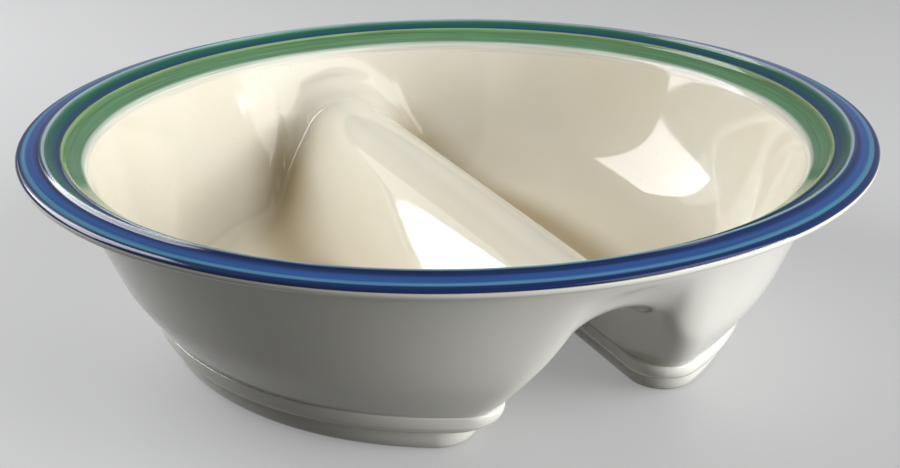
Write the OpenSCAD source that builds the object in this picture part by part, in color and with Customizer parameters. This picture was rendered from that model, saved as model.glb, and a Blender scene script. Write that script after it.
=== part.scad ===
// Round stoneware dish with two wells, a hollow divider between them and a banded rim.
// Origin: centre of the dish on the table. +Z is up and the divider runs along Y.

/* [Rim] */
// Diameter over the lip
rim_d = 280; // [262:1:300]
// Height of the outer bead's crown above the table
bowl_h = 73.2; // [70:0.1:84]
// Height of the rim above its joint with the wells
flange_h = 11.2; // [9.5:0.1:13]
// Reach of the rim beyond the outside of the wall
flange_w = 14.6; // [11:0.1:18]
// Radius of the rounded lip
lip_r = 1.6; // [1.2:0.05:2]
// Drop from the outer bead's crown to the top of the lip
lip_drop = 1.7; // [1.2:0.1:3]
// Distance in from the lip to the outer bead
outer_bead_in = 8.55; // [7.5:0.05:9.5]
// Distance in from the outer bead to the inner bead
bead_gap = 5.5; // [4.5:0.1:6.5]
// Drop from the outer bead's crown to the inner bead's crown
bead_drop = 2.85; // [2:0.05:3.4]
// Distance in from the inner bead to the edge of the green coat
green_w = 5.65; // [4.5:0.05:6.4]
// Drop from the inner bead's crown to the edge of the green coat
green_drop = 4.45; // [3.6:0.05:5]
// Half width of a bead
bead_w = 1.3; // [0.8:0.05:1.6]
// Height of a bead over the slope beside it
bead_h = 0.75; // [0.4:0.05:1]
// Depth of the hollow between the two beads
band_dip = 0.35; // [0:0.05:0.6]
// Thickness of the coloured glaze
glaze_t = 0.5; // [0.3:0.05:0.8]

/* [Wells] */
// Thickness of the wall at its joint with the rim, measured level
wall_t = 7.4; // [6.5:0.1:8]
// Distance in from the outside of the wall at the rim to the top of the foot
foot_in = 22.8; // [18:0.1:28]
// Thickness of the floor of a well
floor_t = 6.5; // [5:0.1:8]
// Distance in from the inside of the wall at the rim to the edge of the floor
floor_in = 42; // [36:0.5:48]
// Height over which the wall and the divider melt together in the corners of a well
corner_blend = 30; // [16:1:40]
// Radius of a well's corners in plan at the floor
well_corner_r = 26; // [16:1:30]

/* [Divider] */
// Height of the divider's crest above the table
crest_h = 48.5; // [46:0.1:52]
// Radius of the crest
crest_r = 20; // [17:0.1:22]
// Slope of the divider's flanks in degrees
crest_slope = 50; // [46:1:54]
// Radius of the hollow where a flank meets the floor
valley_r = 26; // [18:0.5:30]
// Thickness of the divider at its crest
divider_t = 5.6; // [5:0.1:6.5]
// Width of the crown of the divider between the two wells
divider_w = 32; // [28:0.5:34]

/* [Tunnel] */
// Radius of the tunnel's roof
tunnel_r = 17.2; // [15:0.1:18]
// Slope of the tunnel's sides in degrees
tunnel_slope = 70; // [68:1:73]
// Height over which the tunnel's mouth rounds into the outer wall
mouth_blend = 42; // [30:1:46]

/* [Feet] */
// Height of a foot ring, up to the groove
foot_h = 7.5; // [6:0.1:9]
// Height of the collar between the groove and the wall
collar_h = 6.3; // [5:0.1:7]
// Reach of a foot ring from its resting edge up to the groove
foot_flare = 4.1; // [3:0.1:5]
// Reach of the collar over the groove
collar_flare = 3.2; // [2.4:0.1:4]
// Radius of the collar's corners at its top
collar_corner_r = 11; // [9:0.5:11.5]
// Width of the resting face
foot_rest_w = 4; // [3:0.1:5]
// Width of the slope inside the resting face
foot_inner_w = 3; // [2:0.1:4]
// Radius of a foot's corners at its resting edge
foot_corner_r = 9.5; // [8:0.5:12]
// Ledge of the collar beside the wall above it
collar_ledge = 0.3; // [0.1:0.05:0.6]

/* [Hidden] */
$fn = 96;

// Colours of the clear glaze, the clay foot and the coloured coats
cream = [0.93, 0.90, 0.83];
clay = [0.86, 0.82, 0.74];
blue = [0.09, 0.22, 0.50];
pale_blue = [0.62, 0.70, 0.78];
teal = [0.10, 0.42, 0.50];
pale_green = [0.78, 0.82, 0.62];
green = [0.36, 0.56, 0.40];

// Heights
seat_z = foot_h + collar_h;
floor_z = foot_h + floor_t;
flange_z = bowl_h - flange_h;
tunnel_z = crest_h - divider_t;

// Radii
root_r = rim_d / 2 - flange_w;
inner_root_r = root_r - wall_t;
floor_r = inner_root_r - floor_in;
seat_r = root_r - foot_in;
outer_bead_r = rim_d / 2 - outer_bead_in;
inner_bead_r = outer_bead_r - bead_gap;
green_r = inner_bead_r - green_w;

// Places along the tunnel's side and the crown's edge
split_x = divider_w / 2;
tunnel_side_x = tunnel_r * sin(tunnel_slope);
tunnel_side_z = tunnel_z - tunnel_r + tunnel_r * cos(tunnel_slope);
seat_x = tunnel_side_x + (tunnel_side_z - seat_z) / tan(tunnel_slope);

// Handles of the two wall curves, as shares of the curve's width and height
outer_wall_shares = [[0.67, 0.46], [0.38, 0.30]];
inner_wall_shares = [[0.67, 0], [0.79, 0.5]];
// Handles of the cove under the rim, and of the round edge between the wall and the green coat
cove_shares = [[0.12, 0.62], [0.59, 0.65]];
edge_shares = [[0.3, 0.48], [0.48, 0.84]];
// Profile of the collar, as shares of its reach and of its height
collar_shares = [[0.98, 1], [1, 0.72], [0.9, 0.4], [0.62, 0.14], [0, 0]];
// Height below the rim over which the blends fade out, as a share of the flange's reach
fade_share = 0.96;
// Height of a well's corner blend near the floor, as a share of the height over the floor
floor_blend_share = 2;
// Largest corner radius of a D, as a share of the width between its flat and its round side
corner_room_share = 0.45;
// Steps of the curves and of the surfaces
curve_steps = 36;
coat_steps = 8;
foot_steps = 5;
corner_steps = 10;
wall_steps = 14;
outer_steps = 9;
// Places along the divider, as shares of the half length of its crest
crest_shares = [0, 0.1, 0.2, 0.3, 0.4, 0.5, 0.59, 0.67, 0.74, 0.80, 0.85, 0.89, 0.925, 0.96];
// Places across the divider, as shares of half its crown
crown_shares = [-1, -0.8, -0.6, -0.4, -0.2, 0, 0.2, 0.4, 0.6, 0.8, 1];
// Angle between two lines of points on the round side of a well
arc_step = 4.2;
// Start of the search for a height on a line, as a share of the line's reach, and its rounds
near_share = 0.4;
search_steps = 22;
// Angle of the lip at which the blue coat ends, and at which the lip turns under
coat_end_angle = 30;
lip_under_angle = -65;

// A curve from p to s with two handles
function bezier(p, q, r, s, t) =
    pow(1 - t, 3) * p + 3 * pow(1 - t, 2) * t * q + 3 * (1 - t) * t * t * r + pow(t, 3) * s;
function curve(p, s, shares, steps) = [
    for (i = [0 : steps])
        bezier(
            p,
            [p[0] + (s[0] - p[0]) * shares[0][0], p[1] + (s[1] - p[1]) * shares[0][1]],
            [p[0] + (s[0] - p[0]) * shares[1][0], p[1] + (s[1] - p[1]) * shares[1][1]],
            s,
            i / steps
        )
];
function ease(t) = let (c = min(max(t, 0), 1)) c * c * (3 - 2 * c);

// Section of the wall, outside and inside, from the foot or the floor up to the rim
outer_wall = curve([seat_r, seat_z], [root_r, flange_z], outer_wall_shares, curve_steps);
inner_wall = curve([floor_r, floor_z], [inner_root_r, flange_z], inner_wall_shares, curve_steps);
seat_slope = (outer_wall[1][1] - seat_z) / (outer_wall[1][0] - seat_r);
function outer_wall_z(r) = r < seat_r ? seat_z + (r - seat_r) * seat_slope : lookup(r, outer_wall);
function inner_wall_z(r) = lookup(r, inner_wall);

// Section across the divider: a round crest, straight flanks and a round hollow at the floor
flank_x = crest_r * sin(crest_slope);
flank_z = crest_h - crest_r + crest_r * cos(crest_slope);
hollow_z = floor_z + valley_r - valley_r * cos(crest_slope);
hollow_x = flank_x + (flank_z - hollow_z) / tan(crest_slope);
valley_x = hollow_x + valley_r * sin(crest_slope);
function divider_z(x) = let (a = abs(x))
    a < flank_x ? crest_h - crest_r + sqrt(crest_r * crest_r - a * a) :
    a < hollow_x ? flank_z - (a - flank_x) * tan(crest_slope) :
    a < valley_x ? floor_z + valley_r - sqrt(valley_r * valley_r - pow(valley_x - a, 2)) :
    floor_z;

// Section across the tunnel: a round roof and steep sides
function tunnel_section_z(x) = let (a = abs(x))
    a < tunnel_side_x ? tunnel_z - tunnel_r + sqrt(tunnel_r * tunnel_r - a * a) :
    tunnel_side_z - (a - tunnel_side_x) * tan(tunnel_slope);

// The higher of two heights, rounded where they are within k of each other.
// The rounding fades out under the rim, whose edge is a plain circle.
function melt(a, b, k) = k <= 0 ? max(a, b) :
    max(a, b) + pow(max(k - abs(a - b), 0), 2) / (4 * k) * ease((flange_z - a) / (flange_w * fade_share));

// Height of the inside and of the underside at a place p
function inside_z(p) = let (a = inner_wall_z(norm(p)), b = divider_z(p[0]))
    melt(a, b, min(corner_blend, floor_blend_share * (min(a, b) - floor_z)));
function underside_z(p) = melt(outer_wall_z(norm(p)), tunnel_section_z(p[0]), mouth_blend);

// A well is a loft of rings of points, which lie on lines that fan out from its middle
well_x = (split_x + root_r) / 2;
function on_line(a, d) = [d * cos(a) - well_x, d * sin(a)];
function round_reach(a, r) = let (c = well_x * cos(a)) c + sqrt(c * c + r * r - well_x * well_x);
function flat_reach(a, x) = cos(a) > 0 ? (well_x - x) / cos(a) : 2 * rim_d;
function d_reach(a, r, x) = min(round_reach(a, r), flat_reach(a, x));

// Reach of a D whose corners have the radius c
function corner_y(r, x, c) = sqrt(pow(r - c, 2) - pow(x + c, 2));
function soft_d_reach(a, r, x, c) = let (
    y = corner_y(r, x, c),
    full = r / (r - c),
    middle = [well_x - x - c, y],
    from_a = atan2(y, well_x - x),
    to_a = atan2(y * full, well_x - (x + c) * full),
    b = abs(((a + 180) % 360) - 180),
    along = middle[0] * cos(b) + middle[1] * sin(b)
) b > from_a && b < to_a ? along + sqrt(c * c - middle * middle + along * along) : d_reach(a, r, x);

// Round side, flat side and corners of a foot at the groove, and at its resting edge
groove_r = seat_r + collar_ledge - collar_flare;
groove_x = seat_x - collar_ledge + collar_flare;
groove_corner_r = foot_corner_r + foot_flare;
foot_r = groove_r - foot_flare;
foot_x = groove_x + foot_flare;

// Plan of the collar at a share of its reach over the groove
function collar_reach(a, share) = soft_d_reach(
    a,
    groove_r + collar_flare * share,
    groove_x - collar_flare * share,
    groove_corner_r + (collar_corner_r - groove_corner_r) * share
);

// Lines on one side: places along the crest, both corners of the rim, and steps round the wall
crest_y = sqrt(inner_root_r * inner_root_r - split_x * split_x);
crown_y = sqrt(root_r * root_r - split_x * split_x);
crest_places = concat([for (s = crest_shares) s * crest_y], [crest_y, crown_y]);
corner_a = atan2(crown_y, well_x - split_x);
arc_lines = ceil((180 - corner_a) / arc_step);
half_lines = concat(
    [for (y = crest_places) atan2(y, well_x - split_x)],
    [for (i = [1 : arc_lines]) corner_a + i * (180 - corner_a) / arc_lines]
);
half_count = len(half_lines);
lines = concat(half_lines, [for (i = [half_count - 2 : -1 : 1]) 360 - half_lines[i]]);
line_count = len(lines);

// Reach at which the underside comes down to the height z on a line
function reach_at(a, z, near, far, n) = n == 0 ? (near + far) / 2 :
    let (m = (near + far) / 2)
    underside_z(on_line(a, m)) > z ? reach_at(a, z, near, m, n - 1) : reach_at(a, z, m, far, n - 1);
rim_reach = [for (a = lines) d_reach(a, root_r, split_x)];
seat_reach = [
    for (i = [0 : line_count - 1])
        reach_at(lines[i], seat_z, rim_reach[i] * near_share, rim_reach[i], search_steps)
];

// Rings of the inside, from the floor to the rim
function inside_ring(t) = let (
    r = bezier(
        floor_r,
        floor_r + (inner_root_r - floor_r) * inner_wall_shares[0][0],
        floor_r + (inner_root_r - floor_r) * inner_wall_shares[1][0],
        inner_root_r,
        t
    ),
    x = valley_x + (split_x - valley_x) * t
) [
    for (a = lines)
        let (p = on_line(a, soft_d_reach(a, r, x, min(well_corner_r * (1 - t), corner_room_share * (r - x)))))
            [p[0], p[1], min(inside_z(p), flange_z)]
];
// Rings of the underside, from the rim to the foot
function outside_ring(t) = [
    for (i = [0 : line_count - 1])
        let (p = on_line(lines[i], rim_reach[i] + (seat_reach[i] - rim_reach[i]) * t))
            [p[0], p[1], t == 1 ? seat_z : underside_z(p)]
];
// Rings of the collar
function collar_ring(s) = [
    for (a = lines)
        let (p = on_line(a, collar_reach(a, s[0])))
            [p[0], p[1], foot_h + collar_h * s[1]]
];
well_rings = concat(
    [for (i = [0 : wall_steps]) inside_ring(i / wall_steps)],
    [for (i = [0 : outer_steps]) outside_ring(i / outer_steps)],
    [for (s = collar_shares) collar_ring(s)]
);
ring_count = len(well_rings);
well_points = concat(
    [for (ring = well_rings) each ring],
    [[-well_x, 0, floor_z], [-well_x, 0, foot_h]]
);
floor_point = ring_count * line_count;
base_point = floor_point + 1;

// Two triangles between four points of a sheet, split along the shorter diagonal
function two_faces(points, a, b, c, d) = norm(points[a] - points[d]) < norm(points[b] - points[c]) ?
    [[a, d, b], [a, c, d]] :
    [[a, c, b], [b, c, d]];
function ring_faces(k, i) = let (
    a = k * line_count + i,
    b = k * line_count + (i + 1) % line_count
) two_faces(well_points, b, a, b + line_count, a + line_count);
well_faces = concat(
    [for (k = [0 : ring_count - 2], i = [0 : line_count - 1]) each ring_faces(k, i)],
    [for (i = [0 : line_count - 1]) [floor_point, (i + 1) % line_count, i]],
    [
        for (i = [0 : line_count - 1])
            let (last = (ring_count - 1) * line_count) [base_point, last + i, last + (i + 1) % line_count]
    ]
);

// The crown of the divider is a sheet between the inside and the underside
crown_places = concat(
    [for (i = [len(crest_shares) : -1 : 1]) i == len(crest_shares) ? -1 : -crest_shares[i]],
    crest_shares,
    [1]
);
across = len(crown_shares);
along = len(crown_places) + 2;
function crown_xy(i, j) = let (
    x = crown_shares[i] * split_x,
    inner_y = sqrt(inner_root_r * inner_root_r - x * x),
    outer_y = sqrt(root_r * root_r - x * x)
) [x, j == 0 ? -outer_y : j == along - 1 ? outer_y : inner_y * crown_places[j - 1]];
crown_top = [
    for (i = [0 : across - 1], j = [0 : along - 1])
        let (p = crown_xy(i, j)) [p[0], p[1], norm(p) > inner_root_r ? flange_z : min(inside_z(p), flange_z)]
];
crown_under = [
    for (i = [0 : across - 1], j = [1 : along - 2])
        let (p = crown_xy(i, j)) [p[0], p[1], underside_z(p)]
];
function top_point(i, j) = i * along + j;
function under_point(i, j) = j == 0 || j == along - 1 ? top_point(i, j) :
    across * along + i * (along - 2) + j - 1;
crown_points = concat(crown_top, crown_under);
crown_faces = concat(
    [
        for (i = [0 : across - 2], j = [0 : along - 2])
            each two_faces(
                crown_points,
                top_point(i, j),
                top_point(i + 1, j),
                top_point(i, j + 1),
                top_point(i + 1, j + 1)
            )
    ],
    [
        for (i = [0 : across - 2], j = [0 : along - 2])
            each two_faces(
                crown_points,
                under_point(i + 1, j),
                under_point(i, j),
                under_point(i + 1, j + 1),
                under_point(i, j + 1)
            )
    ],
    [for (j = [0 : along - 2]) each side_faces(0, j + 1, j)],
    [for (j = [0 : along - 2]) each side_faces(across - 1, j, j + 1)]
);
// A side face is one triangle where the sheet runs out to its edge
function side_faces(i, j, k) =
    top_point(i, j) == under_point(i, j) ? [[top_point(i, j), top_point(i, k), under_point(i, k)]] :
    top_point(i, k) == under_point(i, k) ? [[top_point(i, j), top_point(i, k), under_point(i, j)]] :
    [
        [top_point(i, j), top_point(i, k), under_point(i, j)],
        [under_point(i, j), top_point(i, k), under_point(i, k)]
    ];

// Surface of the rim over the radius r: the slopes between the beads, and the beads on them
lip_z = bowl_h - lip_drop - lip_r;
lip_centre = [rim_d / 2 - lip_r, lip_z];
inner_crown_z = bowl_h - bead_drop;
green_z = inner_crown_z - green_drop;
slopes = [
    [green_r, green_z],
    [inner_bead_r, inner_crown_z - bead_h],
    [outer_bead_r, bowl_h - bead_h],
    [lip_centre[0], lip_z + lip_r]
];
function bump(r, middle) = abs(r - middle) < bead_w ? bead_h * pow(cos(90 * (r - middle) / bead_w), 2) : 0;
function dip(r) = r > inner_bead_r && r < outer_bead_r ?
    band_dip * sin(180 * (r - inner_bead_r) / bead_gap) : 0;
function rim_z(r) = lookup(r, slopes) + bump(r, inner_bead_r) + bump(r, outer_bead_r) - dip(r);

// Points of the rim's surface from r1 to r2, sunk by the thickness t
function span(r1, r2, t) = [
    for (i = [0 : coat_steps])
        let (r = r1 + (r2 - r1) * i / coat_steps) [r, rim_z(r) - t]
];
function lip_arc(a1, a2, t) = [
    for (i = [0 : coat_steps])
        let (a = a1 + (a2 - a1) * i / coat_steps) lip_centre + (lip_r - t) * [cos(a), sin(a)]
];

// Edges between the coats, from the inside out
coat_edges = [
    green_r, inner_bead_r - bead_w, inner_bead_r + bead_w,
    outer_bead_r - bead_w, outer_bead_r + bead_w, lip_centre[0]
];
function reversed(list) = [for (i = [len(list) - 1 : -1 : 0]) list[i]];
function coat(n) = concat(
    span(coat_edges[n], coat_edges[n + 1], 0),
    reversed(span(coat_edges[n], coat_edges[n + 1], glaze_t))
);
blue_coat = concat(
    span(coat_edges[4], coat_edges[5], 0),
    lip_arc(90, coat_end_angle, 0),
    lip_arc(coat_end_angle, 90, glaze_t),
    reversed(span(coat_edges[4], coat_edges[5], glaze_t))
);
lip_under = lip_centre + lip_r * [cos(lip_under_angle), sin(lip_under_angle)];
rim_section = concat(
    curve([inner_root_r, flange_z], [green_r, green_z], edge_shares, coat_steps),
    [for (n = [0 : 4]) each span(coat_edges[n], coat_edges[n + 1], glaze_t)],
    lip_arc(90, coat_end_angle, glaze_t),
    lip_arc(coat_end_angle, lip_under_angle, 0),
    reversed(curve([root_r, flange_z], lip_under, cove_shares, coat_steps))
);

// Section of a foot ring, as offset from its resting edge and height
foot_section = concat(
    [
        for (i = [0 : foot_steps])
            let (a = 90 * i / foot_steps)
                [foot_flare * cos(a), foot_h - foot_h * sin(a)]
    ],
    [
        for (i = [0 : foot_steps])
            let (a = 90 * i / foot_steps)
                [-foot_rest_w - foot_inner_w * sin(a), foot_h - foot_h * cos(a)]
    ]
);
// Corner of the resting edge: height of its middle along Y, and the angle where it meets the round side
foot_corner_y = corner_y(foot_r, foot_x, foot_corner_r);
foot_corner_a = atan2(foot_corner_y, foot_x + foot_corner_r);
near_middle = [-foot_x - foot_corner_r, -foot_corner_y];
far_middle = [-foot_x - foot_corner_r, foot_corner_y];

// Places along the resting edge, turning left: each has the middle, the radius and the angle of its bend
function foot_bend(middle, radius, from_a, to_a, steps) = [
    for (i = [0 : steps - 1]) [middle, radius, from_a + (to_a - from_a) * i / steps]
];
foot_path = concat(
    foot_bend([0, 0], foot_r, 180 - foot_corner_a, 180 + foot_corner_a, ceil(2 * foot_corner_a / arc_step)),
    foot_bend(near_middle, foot_corner_r, foot_corner_a - 180, 0, corner_steps),
    [[near_middle, foot_corner_r, 0]],
    foot_bend(far_middle, foot_corner_r, 0, 180 - foot_corner_a, corner_steps)
);
foot_points = [
    for (place = foot_path, p = foot_section)
        let (reach = place[1] + p[0])
            [place[0][0] + reach * cos(place[2]), place[0][1] + reach * sin(place[2]), p[1]]
];
path_count = len(foot_path);
edge_count = len(foot_section);
foot_faces = [
    for (i = [0 : path_count - 1], j = [0 : edge_count - 1])
        let (
            a = i * edge_count,
            b = ((i + 1) % path_count) * edge_count,
            n = (j + 1) % edge_count
        ) each two_faces(foot_points, a + j, a + n, b + j, b + n)
];

module foot_ring() {
    polyhedron(foot_points, foot_faces, convexity = 6);
}
module well() {
    polyhedron(well_points, well_faces, convexity = 6);
}

module left_well() {
    color(cream) well();
}
module right_well() {
    color(cream) mirror([1, 0, 0]) well();
}
module divider() {
    color(cream) polyhedron(crown_points, crown_faces, convexity = 6);
}
module rim_flange() {
    color(cream) rotate_extrude() polygon(rim_section);
}
module left_foot() {
    color(clay) foot_ring();
}
module right_foot() {
    color(clay) mirror([1, 0, 0]) foot_ring();
}
module blue_rim_glaze() {
    color(blue) rotate_extrude() polygon(blue_coat);
}
module outer_bead_glaze() {
    color(pale_blue) rotate_extrude() polygon(coat(3));
}
module teal_band_glaze() {
    color(teal) rotate_extrude() polygon(coat(2));
}
module inner_bead_glaze() {
    color(pale_green) rotate_extrude() polygon(coat(1));
}
module green_band_glaze() {
    color(green) rotate_extrude() polygon(coat(0));
}

left_well();
right_well();
divider();
rim_flange();
left_foot();
right_foot();
blue_rim_glaze();
outer_bead_glaze();
teal_band_glaze();
inner_bead_glaze();
green_band_glaze();
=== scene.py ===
import math

import bpy
import numpy as np
from mathutils import Matrix, Vector


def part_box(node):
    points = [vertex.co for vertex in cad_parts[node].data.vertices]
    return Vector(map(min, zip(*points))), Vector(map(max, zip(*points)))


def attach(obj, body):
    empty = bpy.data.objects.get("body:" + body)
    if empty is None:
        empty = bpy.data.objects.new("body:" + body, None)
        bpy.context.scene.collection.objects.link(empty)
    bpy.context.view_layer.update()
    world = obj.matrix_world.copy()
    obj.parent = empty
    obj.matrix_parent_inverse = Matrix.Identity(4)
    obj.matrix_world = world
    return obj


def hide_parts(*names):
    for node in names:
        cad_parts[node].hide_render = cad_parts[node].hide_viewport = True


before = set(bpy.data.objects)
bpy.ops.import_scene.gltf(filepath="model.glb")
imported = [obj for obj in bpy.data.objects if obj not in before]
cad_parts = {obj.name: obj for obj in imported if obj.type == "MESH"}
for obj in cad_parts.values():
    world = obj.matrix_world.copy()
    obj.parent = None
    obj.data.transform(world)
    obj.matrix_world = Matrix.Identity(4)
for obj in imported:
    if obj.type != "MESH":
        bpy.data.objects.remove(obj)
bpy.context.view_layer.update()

# The dish is drawn in millimetres, and its meshes are scaled to metres as they are made.
# Origin: centre of the dish on the table. +Z is up and the divider runs along Y.
MM = 0.001


def frame_size(node, corner, axis):
    """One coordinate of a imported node's box, in millimetres. Corner 0 is the lowest and 1 the highest."""
    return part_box(node)[corner][axis] / MM


# Sizes that the frame gives
RIM_R = min(abs(frame_size("rim_flange", corner, axis)) for corner in (0, 1) for axis in (0, 1))
BOWL_H = frame_size("outer_bead_glaze", 1, 2)
FLANGE_Z = frame_size("rim_flange", 0, 2)
ROOT_R = -frame_size("left_well", 0, 0)
SPLIT_X = frame_size("divider", 1, 0)
FOOT_H = frame_size("left_foot", 1, 2)

# Rim: widths run inward from the edge, band by band, and drops run downward
LIP_R = 1.6
LIP_DROP = 1.7
OUTER_BEAD_INSET = 8.45
TEAL_W = 5.5
GREEN_W = 5.65
INNER_BEAD_DROP = 2.85
GREEN_DROP = 4.45
LIP_Z = BOWL_H - LIP_DROP - LIP_R
OUTER_BEAD_R = RIM_R - OUTER_BEAD_INSET
INNER_BEAD_R = OUTER_BEAD_R - TEAL_W
GREEN_R = INNER_BEAD_R - GREEN_W
INNER_CROWN_Z = BOWL_H - INNER_BEAD_DROP
GREEN_Z = INNER_CROWN_Z - GREEN_DROP
BEAD_W = 1.3
BEAD_H = 0.75
BAND_DIP = 0.35
GLAZE_T = 0.5
COAT_END_ANGLE = 30
LIP_TOP_ANGLE = 86
LIP_UNDER_ANGLE = -65
COVE_SHARES = ((0.12, 0.62), (0.59, 0.65))
EDGE_SHARES = ((0.3, 0.48), (0.48, 0.8))

# Wells
WALL_T = 7.4
WALL_FLARE = 42
FLOOR_T = 6.5
INNER_ROOT_R = ROOT_R - WALL_T
FLOOR_R = INNER_ROOT_R - WALL_FLARE
FLOOR_Z = FOOT_H + FLOOR_T
CORNER_BLEND = 30
WELL_CORNER_R = 26
OUTER_WALL_SHARES = ((0.67, 0.46), (0.38, 0.30))
INNER_WALL_SHARES = ((0.67, 0), (0.79, 0.5))
FADE_H = 14
FLOOR_BLEND_SHARE = 2
CORNER_ROOM_SHARE = 0.45

# Divider
CREST_H = 48.5
CREST_R = 20
CREST_SLOPE = math.radians(50)
VALLEY_R = 26

# Tunnel
TUNNEL_R = 17.2
ROOF_T = 5.6
TUNNEL_Z = CREST_H - ROOF_T
TUNNEL_SLOPE = math.radians(70)
MOUTH_BLEND = 42

# The underside is evened out along the radius, from the height EVEN_Z up, over EVEN_REACH to each side
EVEN_REACH = 3.2
EVEN_Z = 26
EVEN_WEIGHTS = ((-1, 0.1), (-0.6, 0.25), (0, 0.3), (0.6, 0.25), (1, 0.1))

# Feet
COLLAR_H = 6.3
FOOT_FLARE = 4.1
COLLAR_FLARE = 3.2
COLLAR_CORNER_R = 11
COLLAR_LEDGE = 0.3
FOOT_REST_W = 4
FOOT_INNER_W = 3
FOOT_CORNER_R = 9.5
SEAT_INSET = 22.8
SEAT_Z = FOOT_H + COLLAR_H
SEAT_R = ROOT_R - SEAT_INSET
COLLAR_SHARES = ((0.9, 1), (0.98, 0.985), (1, 0.9), (1, 0.7), (0.9, 0.4), (0.62, 0.14), (0.3, 0.03), (0, 0))

# Steps of the meshes, and of the tables and outlines behind them
ROUND_STEPS = 480
CREST_STEPS = 56
CORNER_STEPS = 4
ARC_STEPS = 114
CROWN_STEPS = 24
INSIDE_ROWS = 56
OUTSIDE_ROWS = 32
TABLE_STEPS = 4000
SEAT_SAMPLE = 100
PAST_END = 100
SLOPE_STEPS = 600
EDGE_STEPS = 40
LIP_STEPS = 40
COVE_STEPS = 60
FOOT_STEPS = 40
FOOT_ARC_STEPS = 150
FOOT_CORNER_STEPS = 40

# How finely the heights and outlines are worked out
GRADIENT_STEP = 0.15
UNDER_GRADIENT_STEP = 1.6
EDGE_SOFTNESS = 0.22
SOFT_STEPS = 4
HALVINGS = 40
SEAT_START_SHARE = 0.4
WELD_DIGITS = 5
TINY = 1e-6

# A thinned outline keeps a point wherever it has turned by the angle or run the length
COLLAR_THINNING = (math.radians(9), 0.8)
RIM_THINNING = (math.radians(7), 1.2)
FOOT_THINNING = (math.radians(8), 1)


# Curves and sections

def bezier(a, b, c, d, t):
    return (1 - t) ** 3 * a + 3 * (1 - t) ** 2 * t * b + 3 * (1 - t) * t ** 2 * c + t ** 3 * d


def curve(start, end, shares, steps):
    """Points from start to end, with two handles given as shares of the width and the height."""
    a, d = np.array(start, float), np.array(end, float)
    b, c = (a + (d - a) * np.array(share) for share in shares)
    return bezier(a, b, c, d, np.linspace(0, 1, steps + 1)[:, None])


def ease(t):
    t = np.clip(t, 0, 1)
    return t * t * (3 - 2 * t)


def wall_section(start, end, shares):
    """A wall's section, with one more point past its end, so that its slope is known there too."""
    points = curve(start, end, shares, TABLE_STEPS)
    return np.vstack([points, points[-1] + (points[-1] - points[-2]) * PAST_END])


outer_wall = wall_section((SEAT_R, SEAT_Z), (ROOT_R, FLANGE_Z), OUTER_WALL_SHARES)
inner_wall = wall_section((FLOOR_R, FLOOR_Z), (INNER_ROOT_R, FLANGE_Z), INNER_WALL_SHARES)
seat_slope = (outer_wall[SEAT_SAMPLE, 1] - SEAT_Z) / (outer_wall[SEAT_SAMPLE, 0] - SEAT_R)


def outer_wall_z(r):
    """Height of the outside wall, which runs on straight inside the foot's edge."""
    return np.where(r < SEAT_R, SEAT_Z + (r - SEAT_R) * seat_slope, np.interp(r, *outer_wall.T))


def inner_wall_z(r):
    return np.interp(r, *inner_wall.T)


flank_x = CREST_R * math.sin(CREST_SLOPE)
flank_z = CREST_H - CREST_R + CREST_R * math.cos(CREST_SLOPE)
hollow_z = FLOOR_Z + VALLEY_R - VALLEY_R * math.cos(CREST_SLOPE)
hollow_x = flank_x + (flank_z - hollow_z) / math.tan(CREST_SLOPE)
valley_x = hollow_x + VALLEY_R * math.sin(CREST_SLOPE)


def divider_z(x):
    """Section across the divider: a round crest, straight flanks and a round hollow at the floor."""
    a = np.abs(x)
    crest = CREST_H - CREST_R + np.sqrt(np.maximum(CREST_R ** 2 - a ** 2, 0))
    flank = flank_z - (a - flank_x) * math.tan(CREST_SLOPE)
    hollow = FLOOR_Z + VALLEY_R - np.sqrt(np.maximum(VALLEY_R ** 2 - (valley_x - a) ** 2, 0))
    return np.select([a < flank_x, a < hollow_x, a < valley_x], [crest, flank, hollow], FLOOR_Z)


tunnel_side_x = TUNNEL_R * math.sin(TUNNEL_SLOPE)
tunnel_side_z = TUNNEL_Z - TUNNEL_R + TUNNEL_R * math.cos(TUNNEL_SLOPE)
seat_x = tunnel_side_x + (tunnel_side_z - SEAT_Z) / math.tan(TUNNEL_SLOPE)


def tunnel_z(x):
    """Section across the tunnel: a round roof and steep sides."""
    a = np.abs(x)
    roof = TUNNEL_Z - TUNNEL_R + np.sqrt(np.maximum(TUNNEL_R ** 2 - a ** 2, 0))
    side = tunnel_side_z - (a - tunnel_side_x) * math.tan(TUNNEL_SLOPE)
    return np.where(a < tunnel_side_x, roof, side)


def melt(a, b, k):
    """The higher of two heights, rounded where they are within k of each other.

    The rounding fades out over the height FADE_H under the rim.
    """
    k = np.maximum(k, TINY)
    rounding = np.maximum(k - np.abs(a - b), 0) ** 2 / (4 * k)
    return np.maximum(a, b) + rounding * ease((FLANGE_Z - a) / FADE_H)


def inside_z(x, y):
    """Height of the inside: the wall and the divider, melted into each other down to the floor."""
    a, b = inner_wall_z(np.hypot(x, y)), divider_z(x)
    return melt(a, b, np.minimum(CORNER_BLEND, FLOOR_BLEND_SHARE * (np.minimum(a, b) - FLOOR_Z)))


def underside_z(x, y):
    """Height of the underside, evened out along the radius where it fades into the rim."""
    r = np.maximum(np.hypot(x, y), TINY)
    reach = np.minimum(EVEN_REACH * ease((outer_wall_z(r) - EVEN_Z) / FADE_H), np.maximum(ROOT_R - r, 0))
    total = 0
    for share, weight in EVEN_WEIGHTS:
        scale = 1 + share * reach / r
        total = total + weight * melt(outer_wall_z(r * scale), tunnel_z(x * scale), MOUTH_BLEND)
    return total


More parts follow.
